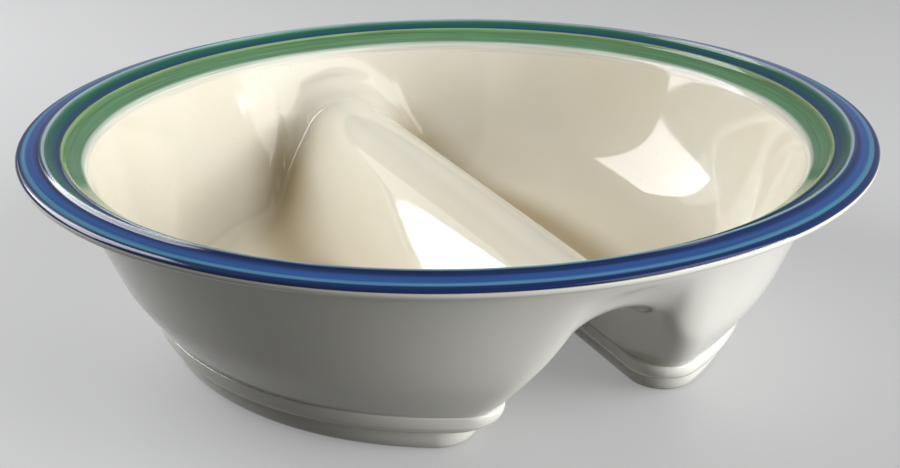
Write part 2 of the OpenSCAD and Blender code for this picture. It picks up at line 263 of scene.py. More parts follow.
def slope_normals(height, x, y, side):
    """Normals of a height field, pointing up (side 1) or down (side -1)."""
    h = GRADIENT_STEP if side > 0 else UNDER_GRADIENT_STEP
    dx = (height(x + h, y) - height(x - h, y)) / (2 * h)
    dy = (height(x, y + h) - height(x, y - h)) / (2 * h)
    n = np.stack([-dx, -dy, np.ones_like(dx)], -1) * side
    return n / np.linalg.norm(n, axis=-1, keepdims=True)


# Building meshes from grids of points

class Skin:
    """Gathers grids of points into one closed mesh. Points that meet are welded, and empty faces dropped.

    Faces look up where a grid's rows run outward and its columns turn left.
    """

    def __init__(self):
        self.points, self.normals, self.faces, self.count = [], [], [], 0

    def sheet(self, points, normals=None, closed=False):
        """A grid of rows and columns. Without normals its faces are shaded flat."""
        rows, columns = points.shape[:2]
        index = self.count + np.arange(rows * columns).reshape(rows, columns)
        if closed:
            index = np.concatenate([index, index[:, :1]], 1)
        a, b, c, d = index[:-1, :-1], index[:-1, 1:], index[1:, 1:], index[1:, :-1]
        self.points.append(points.reshape(-1, 3))
        self.normals.append(np.zeros((rows * columns, 3)) if normals is None else normals.reshape(-1, 3))
        self.faces.append(np.stack([a, d, c, b], -1).reshape(-1, 4))
        self.count += rows * columns

    def build(self, name):
        points = np.concatenate(self.points)
        normals = np.concatenate(self.normals)
        faces = np.concatenate(self.faces)
        rounded = np.round(points, WELD_DIGITS)
        _, first, weld = np.unique(rounded, axis=0, return_index=True, return_inverse=True)
        weld = weld.reshape(-1)
        corners, corner_normals, sizes = [], [], []
        for face in faces:
            kept = [k for i, k in enumerate(face) if weld[k] != weld[face[i - 1]]]
            if len({weld[k] for k in kept}) < 3:
                continue
            corners += [weld[k] for k in kept]
            corner_normals += [normals[k] for k in kept]
            sizes.append(len(kept))
        starts = np.concatenate([[0], np.cumsum(sizes)[:-1]])
        mesh = bpy.data.meshes.new(name)
        mesh.vertices.add(len(first))
        mesh.vertices.foreach_set("co", (points[first] * MM).ravel())
        mesh.loops.add(len(corners))
        mesh.loops.foreach_set("vertex_index", np.array(corners, np.int32))
        mesh.polygons.add(len(sizes))
        mesh.polygons.foreach_set("loop_start", starts.astype(np.int32))
        mesh.update(calc_edges=True)
        corner_normals = np.array(corner_normals)
        smooth = np.add.reduceat(np.abs(corner_normals).sum(1), starts) > 0
        mesh.polygons.foreach_set("use_smooth", smooth)
        mesh.update()
        mesh.normals_split_custom_set(corner_normals)
        piece = bpy.data.objects.new(name, mesh)
        bpy.context.scene.collection.objects.link(piece)
        return piece


def hand_in(piece, node, material):
    """Gives a piece its material, puts it under the root body, and hides the imported node that it stands
    for.
    """
    piece.data.materials.append(material)
    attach(piece, "root")
    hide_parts(node)


# Wells: rings of points on lines that fan out from the middle of a well

# The middle of a well, the groove between its collar and its foot ring, and the foot's resting edge
well_x = (SPLIT_X + ROOT_R) / 2
groove_r = SEAT_R + COLLAR_LEDGE - COLLAR_FLARE
groove_x = seat_x - COLLAR_LEDGE + COLLAR_FLARE
groove_corner_r = FOOT_CORNER_R + FOOT_FLARE
foot_r = groove_r - FOOT_FLARE
foot_x = groove_x + FOOT_FLARE

# Angles of the lines, which pass through the ends of the divider's crest
crest_y = math.sqrt(INNER_ROOT_R ** 2 - SPLIT_X ** 2)
crown_y = math.sqrt(ROOT_R ** 2 - SPLIT_X ** 2)
crest_places = np.concatenate([
    np.linspace(0, crest_y, CREST_STEPS + 1),
    np.linspace(crest_y, crown_y, CORNER_STEPS + 1)[1:],
])
flat_angles = np.arctan2(crest_places, well_x - SPLIT_X)
half_angles = np.concatenate([flat_angles, np.linspace(flat_angles[-1], math.pi, ARC_STEPS + 1)[1:]])
line_angles = np.concatenate([half_angles, 2 * math.pi - half_angles[-2:0:-1]])
on_flat = np.minimum(line_angles, 2 * math.pi - line_angles) <= flat_angles[-1] + TINY


def on_lines(reach):
    """Places on the fanned lines, at their reach from the middle of the left well."""
    return reach * np.cos(line_angles) - well_x, reach * np.sin(line_angles)


def round_reach(r):
    """Reach of a circle of radius r about the dish's middle."""
    c = well_x * np.cos(line_angles)
    return c + np.sqrt(c * c + r * r - well_x ** 2)


def d_reach(r, x):
    """Reach of a D: a circle of radius r about the dish's middle, cut off flat at the distance x."""
    cosine = np.maximum(np.cos(line_angles), TINY)
    return np.minimum(round_reach(r), (well_x - x) / cosine)


def corner_y(r, x, c):
    """How far along the flat side of a D the middle of its corner of radius c lies."""
    return math.sqrt((r - c) ** 2 - (x + c) ** 2)


def soft_d_reach(r, x, c):
    """Reach of a D whose corners have the radius c."""
    y = corner_y(r, x, c)
    full = r / (r - c)
    middle = np.array([well_x - x - c, y])
    from_angle = math.atan2(y, well_x - x)
    to_angle = math.atan2(y * full, well_x - (x + c) * full)
    b = np.minimum(line_angles, 2 * math.pi - line_angles)
    along = middle[0] * np.cos(b) + middle[1] * np.sin(b)
    bend = along + np.sqrt(np.maximum(c * c - middle @ middle + along ** 2, 0))
    return np.where((b > from_angle) & (b < to_angle), bend, d_reach(r, x))


def ring(x, y, z):
    """Points from their coordinates. The height may be one for all."""
    return np.stack([x, y, np.broadcast_to(z, x.shape)], -1)


def soft_line(points):
    """An outline with its corners rounded, as glaze rounds them, and its ends kept."""
    steps = np.concatenate([[0], np.cumsum(np.linalg.norm(np.diff(points, axis=0), axis=1))])
    places = np.linspace(0, steps[-1], max(2, int(steps[-1] / (EDGE_SOFTNESS / SOFT_STEPS))))
    dense = np.stack([np.interp(places, steps, points[:, i]) for i in (0, 1)], -1)
    width = 3 * SOFT_STEPS
    weights = np.exp(-0.5 * (np.arange(-width, width + 1) / SOFT_STEPS) ** 2)
    padded = np.concatenate([
        2 * dense[0] - dense[width:0:-1],
        dense,
        2 * dense[-1] - dense[-2:-width - 2:-1],
    ])
    return np.stack([np.convolve(padded[:, i], weights / weights.sum(), "valid") for i in (0, 1)], -1)


def thinned(points, bend, longest):
    """Which points of a dense outline to keep: one wherever it has turned by bend or run to longest."""
    steps = np.diff(points, axis=0)
    angles = np.unwrap(np.arctan2(steps[:, 1], steps[:, 0]))
    kept = [0]
    for i in range(1, len(points) - 1):
        run = np.linalg.norm(points[i] - points[kept[-1]])
        if abs(angles[i] - angles[kept[-1]]) > bend or run > longest:
            kept.append(i)
    return np.array(kept + [len(points) - 1])


def outline_normals(points):
    """Normals of an outline, to the left of its run."""
    run = np.gradient(points, axis=0)
    n = np.stack([-run[:, 1], run[:, 0]], -1)
    return n / np.linalg.norm(n, axis=1, keepdims=True)


def seat_reach():
    """Reach at which the underside comes down to the top of the foot, on each line."""
    far = d_reach(ROOT_R, SPLIT_X)
    near = far * SEAT_START_SHARE
    for _ in range(HALVINGS):
        middle = (near + far) / 2
        above = underside_z(*on_lines(middle)) > SEAT_Z
        far = np.where(above, middle, far)
        near = np.where(above, near, middle)
    return (near + far) / 2


def well_rings():
    """Grids of one well, on the left: inside, the hidden joint, underside and collar."""
    inside, outside, collar = [], [], []
    radii = curve((FLOOR_R, FLOOR_Z), (INNER_ROOT_R, FLANGE_Z), INNER_WALL_SHARES, INSIDE_ROWS)[:, 0]
    for t, r in zip(np.linspace(0, 1, INSIDE_ROWS + 1), radii):
        x = valley_x + (SPLIT_X - valley_x) * t
        c = min(WELL_CORNER_R * (1 - t), CORNER_ROOM_SHARE * (r - x))
        px, py = on_lines(soft_d_reach(r, x, c))
        inside.append(ring(px, py, np.minimum(inside_z(px, py), FLANGE_Z)))
    rim, seat = d_reach(ROOT_R, SPLIT_X), seat_reach()
    for t in np.linspace(0, 1, OUTSIDE_ROWS + 1):
        px, py = on_lines(rim + (seat - rim) * t)
        outside.append(ring(px, py, np.minimum(underside_z(px, py), FLANGE_Z)))
    joint = np.where(on_flat[:, None], outside[0] * [1, 1, 0] + [0, 0, FLANGE_Z], outside[0])
    flat = on_flat & (np.abs(inside[-1][:, 1]) <= crest_y + TINY) & (inside[-1][:, 0] > -SPLIT_X - TINY)
    joint = np.where(flat[:, None], inside[-1], joint)
    collar_line = soft_line(np.array(COLLAR_SHARES) * [COLLAR_FLARE, COLLAR_H])
    for o, z in collar_line[thinned(collar_line, *COLLAR_THINNING)]:
        c = groove_corner_r + (COLLAR_CORNER_R - groove_corner_r) * o / COLLAR_FLARE
        px, py = on_lines(soft_d_reach(groove_r + o, groove_x - o, c))
        collar.append(ring(px, py, FOOT_H + z))
    return (np.array(part) for part in (inside, [inside[-1], joint, outside[0]], outside, collar))


def mirrored(grid):
    """A grid carried over to the other side of the divider, and turned to look outward there too."""
    return (grid * [-1, 1, 1])[:, ::-1]


def grid_normals(points):
    """Normals of a closed grid, from its points. Rows running down and columns turning left look out."""
    along = np.roll(points, -1, 1) - np.roll(points, 1, 1)
    down = np.gradient(points, axis=0)
    n = np.cross(down, along)
    return n / np.maximum(np.linalg.norm(n, axis=-1, keepdims=True), TINY)


def make_well(name, side):
    """A well, on the left (side 1) or mirrored to the right (side -1)."""
    inside, joint, outside, collar = well_rings()
    middle = np.broadcast_to([-well_x, 0, 0], inside[0].shape)
    floor = np.stack([middle + [0, 0, FLOOR_Z], inside[0]])
    ledge = np.stack([outside[-1], collar[0]])
    base = np.stack([collar[-1], middle + [0, 0, FOOT_H]])
    up = np.array([0.0, 0.0, 1.0])
    grids = [
        (floor, np.broadcast_to(up, floor.shape)),
        (inside, slope_normals(inside_z, inside[..., 0], inside[..., 1], 1)),
        (joint, None),
        (outside, slope_normals(underside_z, outside[..., 0], outside[..., 1], -1)),
        (ledge, None),
        (collar, grid_normals(collar)),
        (base, np.broadcast_to(-up, base.shape)),
    ]
    skin = Skin()
    for points, normals in grids:
        if side < 0:
            points = mirrored(points)
            normals = None if normals is None else mirrored(normals)
        skin.sheet(points, normals, closed=True)
    return skin.build(name)


def make_crown(name):
    """The crown of the divider: a sheet between the two wells, with the tunnel's roof under it."""
    x = np.linspace(-1, 1, CROWN_STEPS + 1)[:, None] * SPLIT_X
    inner_y, outer_y = np.sqrt(INNER_ROOT_R ** 2 - x ** 2), np.sqrt(ROOT_R ** 2 - x ** 2)
    shares = np.linspace(0, 1, CREST_STEPS + 1)[None, :]
    ends = np.linspace(0, 1, CORNER_STEPS + 1)[None, 1:]
    half = np.concatenate([inner_y * shares, inner_y + (outer_y - inner_y) * ends], 1)
    y = np.concatenate([-half[:, :0:-1], half], 1)
    x = np.broadcast_to(x, y.shape)
    last = CORNER_STEPS
    top = np.stack([x, y, np.minimum(inside_z(x, y), FLANGE_Z)], -1)
    under = np.stack([x, y, np.minimum(underside_z(x, y), FLANGE_Z)], -1)
    top[:, :last + 1, 2] = top[:, -last - 1:, 2] = FLANGE_Z
    under[:, 0, 2] = under[:, -1, 2] = FLANGE_Z
    top_normals = slope_normals(inside_z, x, y, 1)
    skin = Skin()
    skin.sheet(top[:, last:-last], top_normals[:, last:-last])
    skin.sheet(top[:, :last + 1])
    skin.sheet(top[:, -last - 1:])
    skin.sheet(under[:, ::-1], slope_normals(underside_z, x, y, -1)[:, ::-1])
    skin.sheet(np.stack([under[0], top[0]]))
    skin.sheet(np.stack([top[-1], under[-1]]))
    return skin.build(name)


# Rim: sections turned about the dish's axis

slopes = np.array([
    [GREEN_R, GREEN_Z],
    [INNER_BEAD_R, INNER_CROWN_Z - BEAD_H],
    [OUTER_BEAD_R, BOWL_H - BEAD_H],
    [RIM_R - LIP_R, LIP_Z + LIP_R],
])


def bead(r, middle):
    """What a bead adds to the height at the radius r."""
    height = BEAD_H * np.cos(math.pi / 2 * (r - middle) / BEAD_W) ** 2
    return np.where(np.abs(r - middle) < BEAD_W, height, 0)


def rim_z(r):
    """Height of the rim's top: straight slopes, two beads and a slight dip between them."""
    between = np.clip((r - INNER_BEAD_R) / (OUTER_BEAD_R - INNER_BEAD_R), 0, 1)
    beads = bead(r, INNER_BEAD_R) + bead(r, OUTER_BEAD_R)
    return np.interp(r, *slopes.T) + beads - BAND_DIP * np.sin(math.pi * between)


def lip_arc(start, end):
    """The round lip, between two angles in degrees."""
    a = np.radians(np.linspace(start, end, LIP_STEPS))
    return np.stack([RIM_R - LIP_R + LIP_R * np.cos(a), LIP_Z + LIP_R * np.sin(a)], -1)


def rim_outline():
    """The rim's whole section, from the inside of the wall over the lip to the outside of the wall."""
    r = np.linspace(GREEN_R, RIM_R - LIP_R, SLOPE_STEPS)
    lip = lip_arc(LIP_TOP_ANGLE, LIP_UNDER_ANGLE)
    return soft_line(np.concatenate([
        curve((INNER_ROOT_R, FLANGE_Z), (GREEN_R, GREEN_Z), EDGE_SHARES, EDGE_STEPS)[:-1],
        np.stack([r, rim_z(r)], -1),
        lip,
        curve((ROOT_R, FLANGE_Z), lip[-1], COVE_SHARES, COVE_STEPS)[-2::-1],
    ]))


rim_line = rim_outline()
rim_normals = outline_normals(rim_line)


def first_past(r):
    """The first place on the rim's outline at the radius r or beyond."""
    return int(np.argmax(rim_line[:, 0] >= r))


# Places on the outline where one coat of glaze ends and the next begins
coat_end_z = LIP_Z + LIP_R * math.sin(math.radians(COAT_END_ANGLE))
past_top = np.arange(len(rim_line)) > first_past(RIM_R - LIP_R)
coat_ends = [
    first_past(GREEN_R),
    first_past(INNER_BEAD_R - BEAD_W),
    first_past(INNER_BEAD_R + BEAD_W),
    first_past(OUTER_BEAD_R - BEAD_W),
    first_past(OUTER_BEAD_R + BEAD_W),
    int(np.argmax(past_top & (rim_line[:, 1] <= coat_end_z))),
]


def turned(skin, outline, normals=None):
    """Turns an outline of radius and height about the axis, and adds it to a skin."""
    a = np.linspace(0, 2 * math.pi, ROUND_STEPS, endpoint=False)
    c, s = np.cos(a), np.sin(a)
    r, z = outline[:, :1], outline[:, 1:]
    points = np.stack([r * c, r * s, np.broadcast_to(z, (len(outline), ROUND_STEPS))], -1)
    if normals is not None:
        nr, nz = normals[:, :1], normals[:, 1:]
        normals = np.stack([nr * c, nr * s, np.broadcast_to(nz, (len(outline), ROUND_STEPS))], -1)
    skin.sheet(points, normals, closed=True)


def rim_part(start, end):
    """Points and normals of the rim's outline between two places on it."""
    part, normals = rim_line[start:end + 1], rim_normals[start:end + 1]
    kept = thinned(part, *RIM_THINNING)
    return part[kept], normals[kept]


def make_coat(name, n):
    """A coat of coloured glaze, from one edge between the coats to the next."""
    top, normals = rim_part(coat_ends[n], coat_ends[n + 1])
    under = (top - normals * GLAZE_T)[::-1]
    skin = Skin()
    turned(skin, top, normals)
    turned(skin, np.stack([top[-1], under[0]]))
    turned(skin, under)
    turned(skin, np.stack([under[-1], top[0]]))
    return skin.build(name)


def make_rim(name):
    """The clay of the rim, sunk under the coats by their thickness."""
    inner, inner_normals = rim_part(0, coat_ends[0])
    outer, outer_normals = rim_part(coat_ends[-1], len(rim_line) - 1)
    sunk, sunk_normals = rim_part(coat_ends[0], coat_ends[-1])
    sunk = sunk - sunk_normals * GLAZE_T
    skin = Skin()
    turned(skin, inner, inner_normals)
    turned(skin, np.stack([inner[-1], sunk[0]]))
    turned(skin, sunk)
    turned(skin, np.stack([sunk[-1], outer[0]]))
    turned(skin, outer, outer_normals)
    turned(skin, np.stack([outer[-1], inner[0]]))
    return skin.build(name)


# Feet: a section carried round a D

def foot_section():
    """Section of a foot ring, as offset from its resting edge and height."""
    a = np.radians(np.linspace(0, 90, FOOT_STEPS))
    outer = np.stack([FOOT_FLARE * np.cos(a), FOOT_H - FOOT_H * np.sin(a)], -1)
    inner = np.stack([-FOOT_REST_W - FOOT_INNER_W * np.sin(a), FOOT_H - FOOT_H * np.cos(a)], -1)
    line = soft_line(np.concatenate([outer, inner]))
    line[:, 1] = np.clip(line[:, 1], 0, FOOT_H)
    return line


def foot_path():
    """Centre, radius and angle of the points along the resting edge, on the left, turning left."""
    x, y = -foot_x - FOOT_CORNER_R, corner_y(foot_r, foot_x, FOOT_CORNER_R)
    turn = math.atan2(y, -x)
    stretches = [
        ((0, 0), foot_r, np.linspace(math.pi - turn, math.pi + turn, FOOT_ARC_STEPS)),
        ((x, -y), FOOT_CORNER_R, np.linspace(turn - math.pi, 0, FOOT_CORNER_STEPS)),
        ((x, y), FOOT_CORNER_R, np.linspace(0, math.pi - turn, FOOT_CORNER_STEPS)),
    ]
    return [(centre, radius, a) for centre, radius, angles in stretches for a in angles]


def make_foot(name, side):
    """A foot ring, on the left (side 1) or mirrored to the right (side -1)."""
    line = foot_section()
    kept = thinned(line, *FOOT_THINNING)
    section, section_normals = line[kept], outline_normals(line)[kept]
    points, normals = [], []
    for (cx, cy), radius, a in foot_path():
        c, s = math.cos(a), math.sin(a)
        points.append([(cx + (radius + o) * c, cy + (radius + o) * s, z) for o, z in section])
        normals.append([(n * c, n * s, nz) for n, nz in section_normals])
    points, normals = (np.array(grid).transpose(1, 0, 2) for grid in (points, normals))
    lid = np.stack([points[-1], points[0]])
    if side < 0:
        points, normals, lid = mirrored(points), mirrored(normals), mirrored(lid)
    skin = Skin()
    skin.sheet(points, normals, closed=True)
    skin.sheet(lid, closed=True)
    return skin.build(name)


# Materials

class Nodes:
    """A short way to write a material's nodes."""

    def __init__(self, name):
        self.material = bpy.data.materials.new(name)
        self.material.use_nodes = True
        self.tree = self.material.node_tree
        self.shader = self.tree.nodes["Principled BSDF"]

    def add(self, kind, operation=None, **settings):
        node = self.tree.nodes.new(kind)
        if operation:
            node.operation = operation
        for name, value in settings.items():
            setattr(node, name, value)
        return node

    def link(self, source, target):
        self.tree.links.new(source, target)

    def put(self, socket, value):
        """Links a socket to another one, or gives it a number or a colour."""
        if isinstance(value, bpy.types.NodeSocket):
            self.link(value, socket)
        elif isinstance(value, tuple):
            socket.default_value = (*value, 1)
        else:
            socket.default_value = value

    def place(self):
        """The place on the dish, in metres from its origin."""
        return self.add("ShaderNodeTexCoord").outputs["Object"]

    def split(self, vector):
        """The three parts of a vector."""
        node = self.add("ShaderNodeSeparateXYZ")
        self.link(vector, node.inputs[0])
        return node.outputs

    def math(self, operation, a, b=0.0):
        node = self.add("ShaderNodeMath", operation)
        for socket, value in zip(node.inputs, (a, b)):
            self.put(socket, value)
        return node.outputs[0]

    def noise(self, vector, scale, detail=2, roughness=0.5):
        node = self.add("ShaderNodeTexNoise")
        self.put(node.inputs["Vector"], vector)
        self.put(node.inputs["Scale"], scale)
        self.put(node.inputs["Detail"], detail)
        self.put(node.inputs["Roughness"], roughness)
        return node.outputs["Fac"]

    def ramp(self, factor, stops):
        node = self.add("ShaderNodeValToRGB")
        elements = node.color_ramp.elements
        for place, colour in stops[2:]:
            elements.new(place)
        for element, (place, colour) in zip(elements, stops):
            element.position = place
            element.color = (*colour, 1)
        self.put(node.inputs["Fac"], factor)
        return node.outputs["Color"]

    def mix(self, factor, a, b, blend="MIX"):
        node = self.add("ShaderNodeMix", data_type="RGBA", blend_type=blend)
        for socket, value in ((node.inputs["Factor"], factor), (node.inputs[6], a), (node.inputs[7], b)):
            self.put(socket, value)
        return node.outputs[2]

    def remap(self, value, low, high, to_low=0.0, to_high=1.0):
        node = self.add("ShaderNodeMapRange")
        for socket, v in zip(node.inputs, (value, low, high, to_low, to_high)):
            self.put(socket, v)
        return node.outputs[0]


# Clear glaze over the clay: darker and warmer low on the inside, partly where it pools and partly as
# painted shade, with painted brown shade beside the divider; paler outside
CREAM = (0.79, 0.73, 0.585)
CREAM_LIGHT = (0.82, 0.775, 0.655)
# Darker, browner cream low in the wells: partly pooled glaze, partly painted shade
CREAM_POOL_AND_SHADE = (0.66, 0.58, 0.43)
CREAM_OUTSIDE = (0.80, 0.785, 0.72)
# Painted shade: the brown that darkens the valley beside the divider
PAINTED_SHADE_TINT = (0.57, 0.49, 0.36)
SPECK = (0.42, 0.33, 0.22)
CLAY = (0.62, 0.53, 0.41)
CLAY_DARK = (0.50, 0.42, 0.32)

# Colours of the rim over the radius in millimetres, from the inside out
NAVY = (0.006, 0.022, 0.095)
BLUE = (0.015, 0.070, 0.255)
# Steel-blue line on the lip's shoulder: partly thinner glaze where the rim turns down, partly a painted
# highlight
STEEL_AND_GLINT = (0.060, 0.205, 0.340)
PALE_BLUE = (0.30, 0.42, 0.44)
SEA_GREEN = (0.055, 0.155, 0.095)
DARK_GREEN = (0.016, 0.105, 0.066)
TEAL = (0.008, 0.080, 0.080)
DEEP_BLUE = (0.007, 0.050, 0.125)
PALE_GREEN = (0.24, 0.33, 0.16)
GREEN = (0.100, 0.205, 0.078)
GREY_GREEN = (0.105, 0.225, 0.120)
MIST = (0.50, 0.58, 0.48)
# Painted shade on the rounded inner edge, where the wall turns up into the rim
EDGE_SHADE_GREY = (0.68, 0.65, 0.60)
GLAZE_START = GREEN_R - 3.4
GLAZE_FULL = GREEN_R - 0.5
BAND_STOPS = (
    (GLAZE_START, CREAM), (GREEN_R - 1.4, EDGE_SHADE_GREY), (GLAZE_FULL, MIST), (GREEN_R + 0.4, GREY_GREEN),
    (GREEN_R + 2.6, GREY_GREEN), (INNER_BEAD_R - 0.8, GREEN), (INNER_BEAD_R - 0.3, PALE_GREEN),
    (INNER_BEAD_R + 0.1, PALE_GREEN), (INNER_BEAD_R + 0.5, DEEP_BLUE), (INNER_BEAD_R + 1.9, DEEP_BLUE),
    (INNER_BEAD_R + 3.0, TEAL), (OUTER_BEAD_R - 1.3, DARK_GREEN), (OUTER_BEAD_R - 0.75, SEA_GREEN),
    (OUTER_BEAD_R - 0.3, PALE_BLUE), (OUTER_BEAD_R + 0.15, PALE_BLUE), (OUTER_BEAD_R + 0.6, NAVY),
    (OUTER_BEAD_R + 1.8, NAVY), (OUTER_BEAD_R + 3.0, BLUE), (RIM_R - 3.7, BLUE),
    (RIM_R - 3.0, STEEL_AND_GLINT), (RIM_R - 2.3, STEEL_AND_GLINT), (RIM_R - 1.7, NAVY),
)

# Parts of a noise's range that are stretched to the full range
MOST = (0.3, 0.7)
MIDDLE = (0.35, 0.65)

# Surface of the glaze. Here and below, scales are per metre and lengths are in millimetres.
GLAZE_ROUGHNESS = 0.06
GLAZE_IOR = 1.52
RIM_ROUGHNESS = 0.085
RIM_IOR = 1.42
ROUGHNESS_SHARES = (0.8, 1.4)
PATCH_SCALE = 60
SWELL_SCALE = 28
PEEL_SCALE = 420
PEEL_SHARE = 0.035
RIM_PEEL_SHARE = 0.015
UNEVEN_H = 0.12

# Clouds, darker low parts that are partly pooled glaze and partly painted shade, the painted brown shade
# beside the divider, and specks
CLOUD_SCALE = 14
LEDGE_MARGIN = 0.05
INWARD_SLOPES = (0.05, 0.3)
POOL_SHADE_LOW, POOL_SHADE_HIGH = 15, 31
POOL_SHADE_SHARE = 0.5
# Place, width, heights and bend of the painted shade beside the divider
SHADE_X = 50.5
SHADE_W = 18
SHADE_LOW, SHADE_HIGH = 28, 44
SHADE_BEND = 0.00225
SPECK_SCALE = 240
SPECK_PATCH_SCALE = 90
SPECK_PATCH_START = 0.66
SPECK_EDGE = (0.10, 0.04)
SPECK_SHARE = 0.35

# Brush strokes and edges of the bands. The strokes' scales are per radian along the rim.
WANDER_SCALE = 26
WANDER_W = 0.55
STROKE_ACROSS = 1.1
STREAK_SCALE = 2.4
FINE_STREAK_SCALE = 7
FINE_SHARE = 0.3
STREAK_LIGHT = (0.55, 1.5)
STREAK_SHARE = 0.75
TINT_SCALE = 1.3
TINTS = ((0.35, (0.80, 1.10, 0.92)), (0.65, (1.15, 0.93, 1.10)))
GREEN_TINT_SHARE = 0.25
TINT_FADE_W = 3
COAT_END_DROP = 0.40
COAT_END_WANDER = 0.35
COAT_END_FADE = 0.22

# The wiped foot
BARE_H = 0.5
BARE_WANDER = 0.8
BARE_SCALE = 120
GRAIN_SCALE = 900
FOOT_ROUGHNESS = 0.07
BARE_ROUGHNESS = 0.85


def glaze_surface(nodes, colour, roughness=GLAZE_ROUGHNESS, peel_share=PEEL_SHARE, ior=GLAZE_IOR):
    """Gloss and the slight unevenness of a fired glaze."""
    place = nodes.place()
    shader = nodes.shader
    nodes.link(colour, shader.inputs["Base Color"])
    patchy = nodes.noise(place, PATCH_SCALE, detail=3)
    smoothest, roughest = (roughness * share for share in ROUGHNESS_SHARES)
    nodes.link(nodes.remap(patchy, *MOST, smoothest, roughest), shader.inputs["Roughness"])
    shader.inputs["IOR"].default_value = ior
    swell = nodes.noise(place, SWELL_SCALE, detail=1)
    peel = nodes.noise(place, PEEL_SCALE)
    height = nodes.math("ADD", swell, nodes.math("MULTIPLY", peel, peel_share))
    bump = nodes.add("ShaderNodeBump")
    bump.inputs["Strength"].default_value = 1
    bump.inputs["Distance"].default_value = UNEVEN_H * MM
    nodes.link(height, bump.inputs["Height"])
    nodes.link(bump.outputs["Normal"], shader.inputs["Normal"])


def painted_shade_depth(nodes, x, y, z):
    """How deep a place lies in the painted brown shade beside the divider, which nears the divider at both
    ends.
    """
    bend = nodes.math("MULTIPLY", nodes.math("MULTIPLY", y, y), SHADE_BEND / MM)
    middle = nodes.math("SUBTRACT", SHADE_X * MM, bend)
    off = nodes.math("ABSOLUTE", nodes.math("SUBTRACT", nodes.math("ABSOLUTE", x), middle))
    near = nodes.remap(off, SHADE_W * MM, 0)
    slack = nodes.math("SUBTRACT", 3, nodes.math("ADD", near, near))
    eased = nodes.math("MULTIPLY", nodes.math("MULTIPLY", near, near), slack)
    return nodes.math("MULTIPLY", nodes.remap(z, SHADE_HIGH * MM, SHADE_LOW * MM), eased)


def cream_colour(nodes):
    """Cream with faint clouds, darker and warmer low down where glaze pools and shade is painted, with
    painted brown shade beside the divider and fine iron specks.
    """
    place = nodes.place()
    x, y, z = nodes.split(place)
    upward = nodes.split(nodes.add("ShaderNodeNewGeometry").outputs["True Normal"])[2]
    clouds = nodes.noise(place, CLOUD_SCALE, detail=4, roughness=0.55)
    inside = nodes.mix(nodes.remap(clouds, *MIDDLE), CREAM, CREAM_LIGHT)
    over_ledge = nodes.remap(z, (SEAT_Z + LEDGE_MARGIN) * MM, (FLOOR_Z - LEDGE_MARGIN) * MM)
    inward = nodes.math("MULTIPLY", over_ledge, nodes.remap(upward, *INWARD_SLOPES))
    base = nodes.mix(inward, CREAM_OUTSIDE, inside)
    # Painted shade, partly pooled glaze: darker and browner towards the floor of the wells
    pool_and_shade = nodes.remap(z, POOL_SHADE_LOW * MM, POOL_SHADE_HIGH * MM, POOL_SHADE_SHARE, 0)
    base = nodes.mix(nodes.math("MULTIPLY", pool_and_shade, inward), base, CREAM_POOL_AND_SHADE)
    # Painted shade in the valley beside the divider, where the crest keeps the light off
    shade = nodes.math("MULTIPLY", painted_shade_depth(nodes, x, y, z), inward)
    base = nodes.mix(shade, base, nodes.mix(1, base, PAINTED_SHADE_TINT, "MULTIPLY"))
    specks = nodes.add("ShaderNodeTexVoronoi")
    nodes.link(place, specks.inputs["Vector"])
    specks.inputs["Scale"].default_value = SPECK_SCALE
    patches = nodes.noise(place, SPECK_PATCH_SCALE, detail=0)
    chosen = nodes.math("GREATER_THAN", patches, SPECK_PATCH_START)
    dot = nodes.remap(specks.outputs["Distance"], *SPECK_EDGE)
    amount = nodes.math("MULTIPLY", nodes.math("MULTIPLY", dot, chosen), SPECK_SHARE)
    return nodes.mix(amount, base, SPECK)


def round_place(nodes):
    """A place's radius and height in millimetres, and the place as the strokes see it.

    The strokes run along the unit circle, and a millimetre across them counts as STROKE_ACROSS radians.
    """
    x, y, z = nodes.split(nodes.place())
    r = nodes.math("SQRT", nodes.math("ADD", nodes.math("MULTIPLY", x, x), nodes.math("MULTIPLY", y, y)))
    r_mm = nodes.math("MULTIPLY", r, 1 / MM)
    stroke = nodes.add("ShaderNodeCombineXYZ")
    nodes.link(nodes.math("DIVIDE", x, r), stroke.inputs[0])
    nodes.link(nodes.math("DIVIDE", y, r), stroke.inputs[1])
    nodes.link(nodes.math("MULTIPLY", r_mm, STROKE_ACROSS), stroke.inputs[2])
    return r_mm, nodes.math("MULTIPLY", z, 1 / MM), stroke.outputs[0]


def brushed(nodes, bands, moved, stroke):
    """The bands' colour with light and dark streaks, and a drift in hue that is weak in the green."""
    broad = nodes.noise(stroke, STREAK_SCALE, detail=3, roughness=0.6)
    fine = nodes.noise(stroke, FINE_STREAK_SCALE, roughness=0.6)
    broad = nodes.math("MULTIPLY", broad, 1 - FINE_SHARE)
    fine = nodes.math("MULTIPLY", fine, FINE_SHARE)
    light = nodes.remap(nodes.math("ADD", broad, fine), *MOST, *STREAK_LIGHT)
    grey = nodes.add("ShaderNodeCombineColor")
    for socket in grey.inputs:
        nodes.link(light, socket)
    bands = nodes.mix(STREAK_SHARE, bands, grey.outputs[0], "MULTIPLY")
    tint = nodes.ramp(nodes.noise(stroke, TINT_SCALE), TINTS)
    share = nodes.remap(moved, INNER_BEAD_R - TINT_FADE_W, INNER_BEAD_R, GREEN_TINT_SHARE, 1)
    return nodes.mix(share, bands, nodes.mix(1, bands, tint, "MULTIPLY"))


